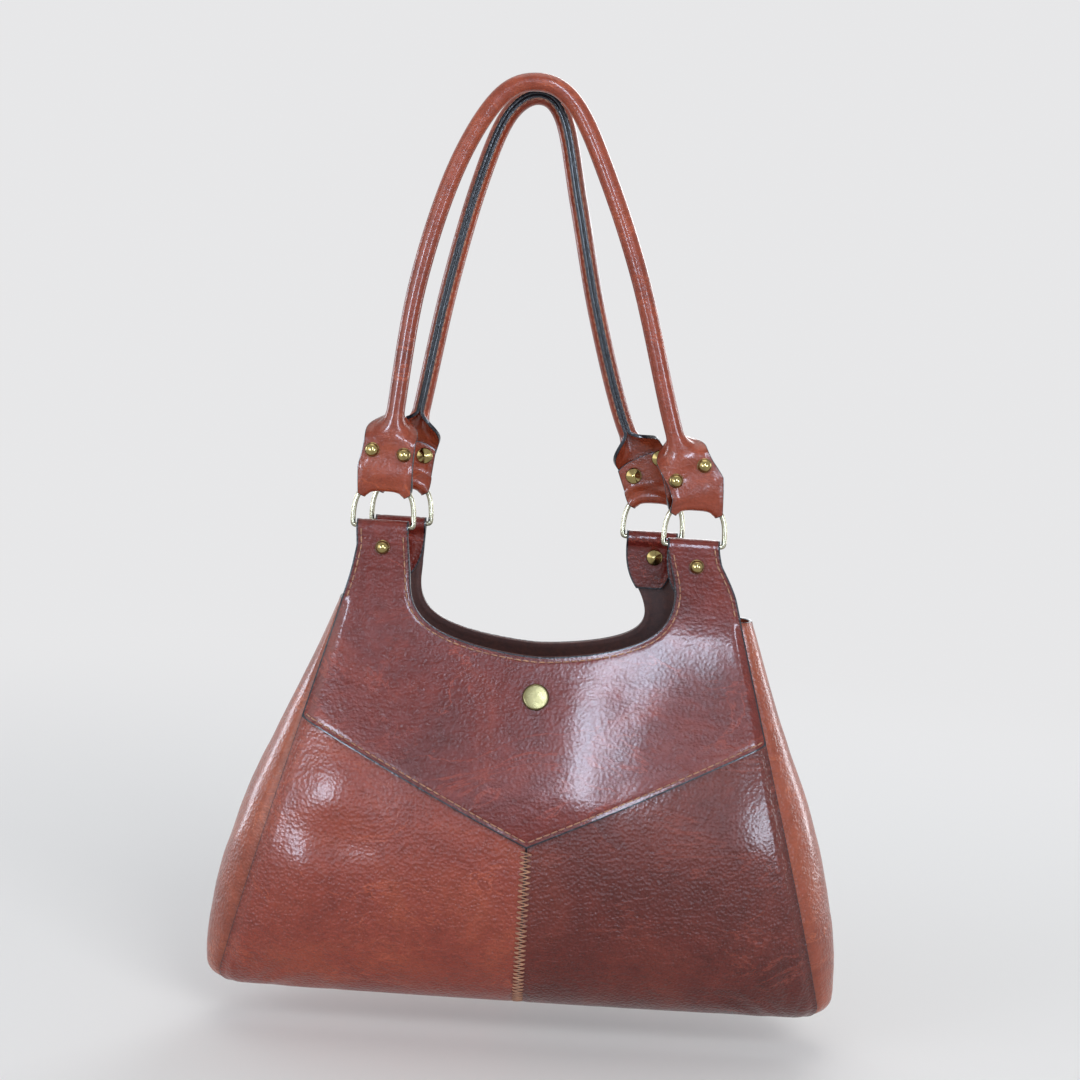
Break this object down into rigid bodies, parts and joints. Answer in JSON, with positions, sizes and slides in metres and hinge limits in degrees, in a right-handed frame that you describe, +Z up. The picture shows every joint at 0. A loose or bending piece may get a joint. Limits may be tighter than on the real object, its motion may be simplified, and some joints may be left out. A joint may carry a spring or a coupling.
{
  "type": "hobo bag",
  "caption": "Leather hobo shoulder bag with scooped mouth, pointed yoke, side gussets, D-rings and rolled strap handles.",
  "frame": {"origin": "the point under the tops of the two handles where the bag hangs", "axes": "+X to the bag's right in the front view, +Y from the front to the back, +Z up"},
  "size_m": [0.3182, 0.0938, 0.4577],
  "materials": {
    "yoke_leather": "waxed smooth leather, dark red-brown",
    "facing_leather": "dark brown leather facing",
    "left_panel_leather": "waxed pebbled leather, red tan",
    "right_panel_leather": "waxed pebbled leather, deep red-brown",
    "gusset_leather": "waxed leather, orange tan",
    "handle_leather": "polished leather, chestnut",
    "core_cord": "twisted cotton cord",
    "rivet_brass": "polished brass",
    "ring_metal": "pale plated steel wire"
  },
  "bodies": {
    "back_wall": {"back_yoke": "yoke_leather", "back_facing": "facing_leather", "back_left_panel": "left_panel_leather", "back_right_panel": "right_panel_leather", "back_left_ear_rivet": "rivet_brass", "back_right_ear_rivet": "rivet_brass", "snap_post_cap": "rivet_brass", "snap_stud": "rivet_brass", "left_gusset": "gusset_leather", "right_gusset": "gusset_leather"},
    "front_wall": {"front_yoke": "yoke_leather", "front_facing": "facing_leather", "front_left_panel": "left_panel_leather", "front_right_panel": "right_panel_leather", "front_left_ear_rivet": "rivet_brass", "front_right_ear_rivet": "rivet_brass", "snap_cap": "rivet_brass", "snap_socket": "rivet_brass"},
    "front_left_ring_link": {"front_left_ring": "ring_metal"},
    "front_right_ring_link": {"front_right_ring": "ring_metal"},
    "front_handle": {"front_handle_strap": "handle_leather", "front_handle_cord": "core_cord", "front_left_handle_rivet_1": "rivet_brass", "front_left_handle_rivet_2": "rivet_brass", "front_right_handle_rivet_1": "rivet_brass", "front_right_handle_rivet_2": "rivet_brass"},
    "back_left_ring_link": {"back_left_ring": "ring_metal"},
    "back_right_ring_link": {"back_right_ring": "ring_metal"},
    "back_handle": {"back_handle_strap": "handle_leather", "back_handle_cord": "core_cord", "back_left_handle_rivet_1": "rivet_brass", "back_left_handle_rivet_2": "rivet_brass", "back_right_handle_rivet_1": "rivet_brass", "back_right_handle_rivet_2": "rivet_brass"}
  },
  "joints": [
    {"name": "mouth_open", "type": "hinge", "parent": "back_wall", "child": "front_wall", "pos_m": [0.0163, 0, -0.445], "axis": [1, 0, 0], "range_deg": [0, 10]},
    {"name": "front_left_ring_turn", "type": "hinge", "parent": "front_wall", "child": "front_left_ring_link", "pos_m": [-0.0632, -0.0109, -0.20725], "axis": [1, 0, 0], "range_deg": [0, 115]},
    {"name": "front_right_ring_turn", "type": "hinge", "parent": "front_wall", "child": "front_right_ring_link", "pos_m": [0.08828, -0.0109, -0.20725], "axis": [1, 0, 0], "range_deg": [0, 115]},
    {"name": "front_handle_tilt", "type": "hinge", "parent": "front_left_ring_link", "child": "front_handle", "pos_m": [-0.0632, -0.0109, -0.18975], "axis": [1, 0, 0], "range_deg": [0, 12]},
    {"name": "back_left_ring_turn", "type": "hinge", "parent": "back_wall", "child": "back_left_ring_link", "pos_m": [-0.05624, 0.0109, -0.20725], "axis": [1, 0, 0], "range_deg": [-115, 0]},
    {"name": "back_right_ring_turn", "type": "hinge", "parent": "back_wall", "child": "back_right_ring_link", "pos_m": [0.06901, 0.0109, -0.20725], "axis": [1, 0, 0], "range_deg": [-115, 0]},
    {"name": "back_handle_tilt", "type": "hinge", "parent": "back_left_ring_link", "child": "back_handle", "pos_m": [-0.05624, 0.0109, -0.18975], "axis": [1, 0, 0], "range_deg": [-12, 0]}
  ],
  "couplings": [
    {"joint": "front_right_ring_turn", "follows": "front_left_ring_turn", "ratio": 1},
    {"joint": "back_right_ring_turn", "follows": "back_left_ring_turn", "ratio": 1}
  ]
}
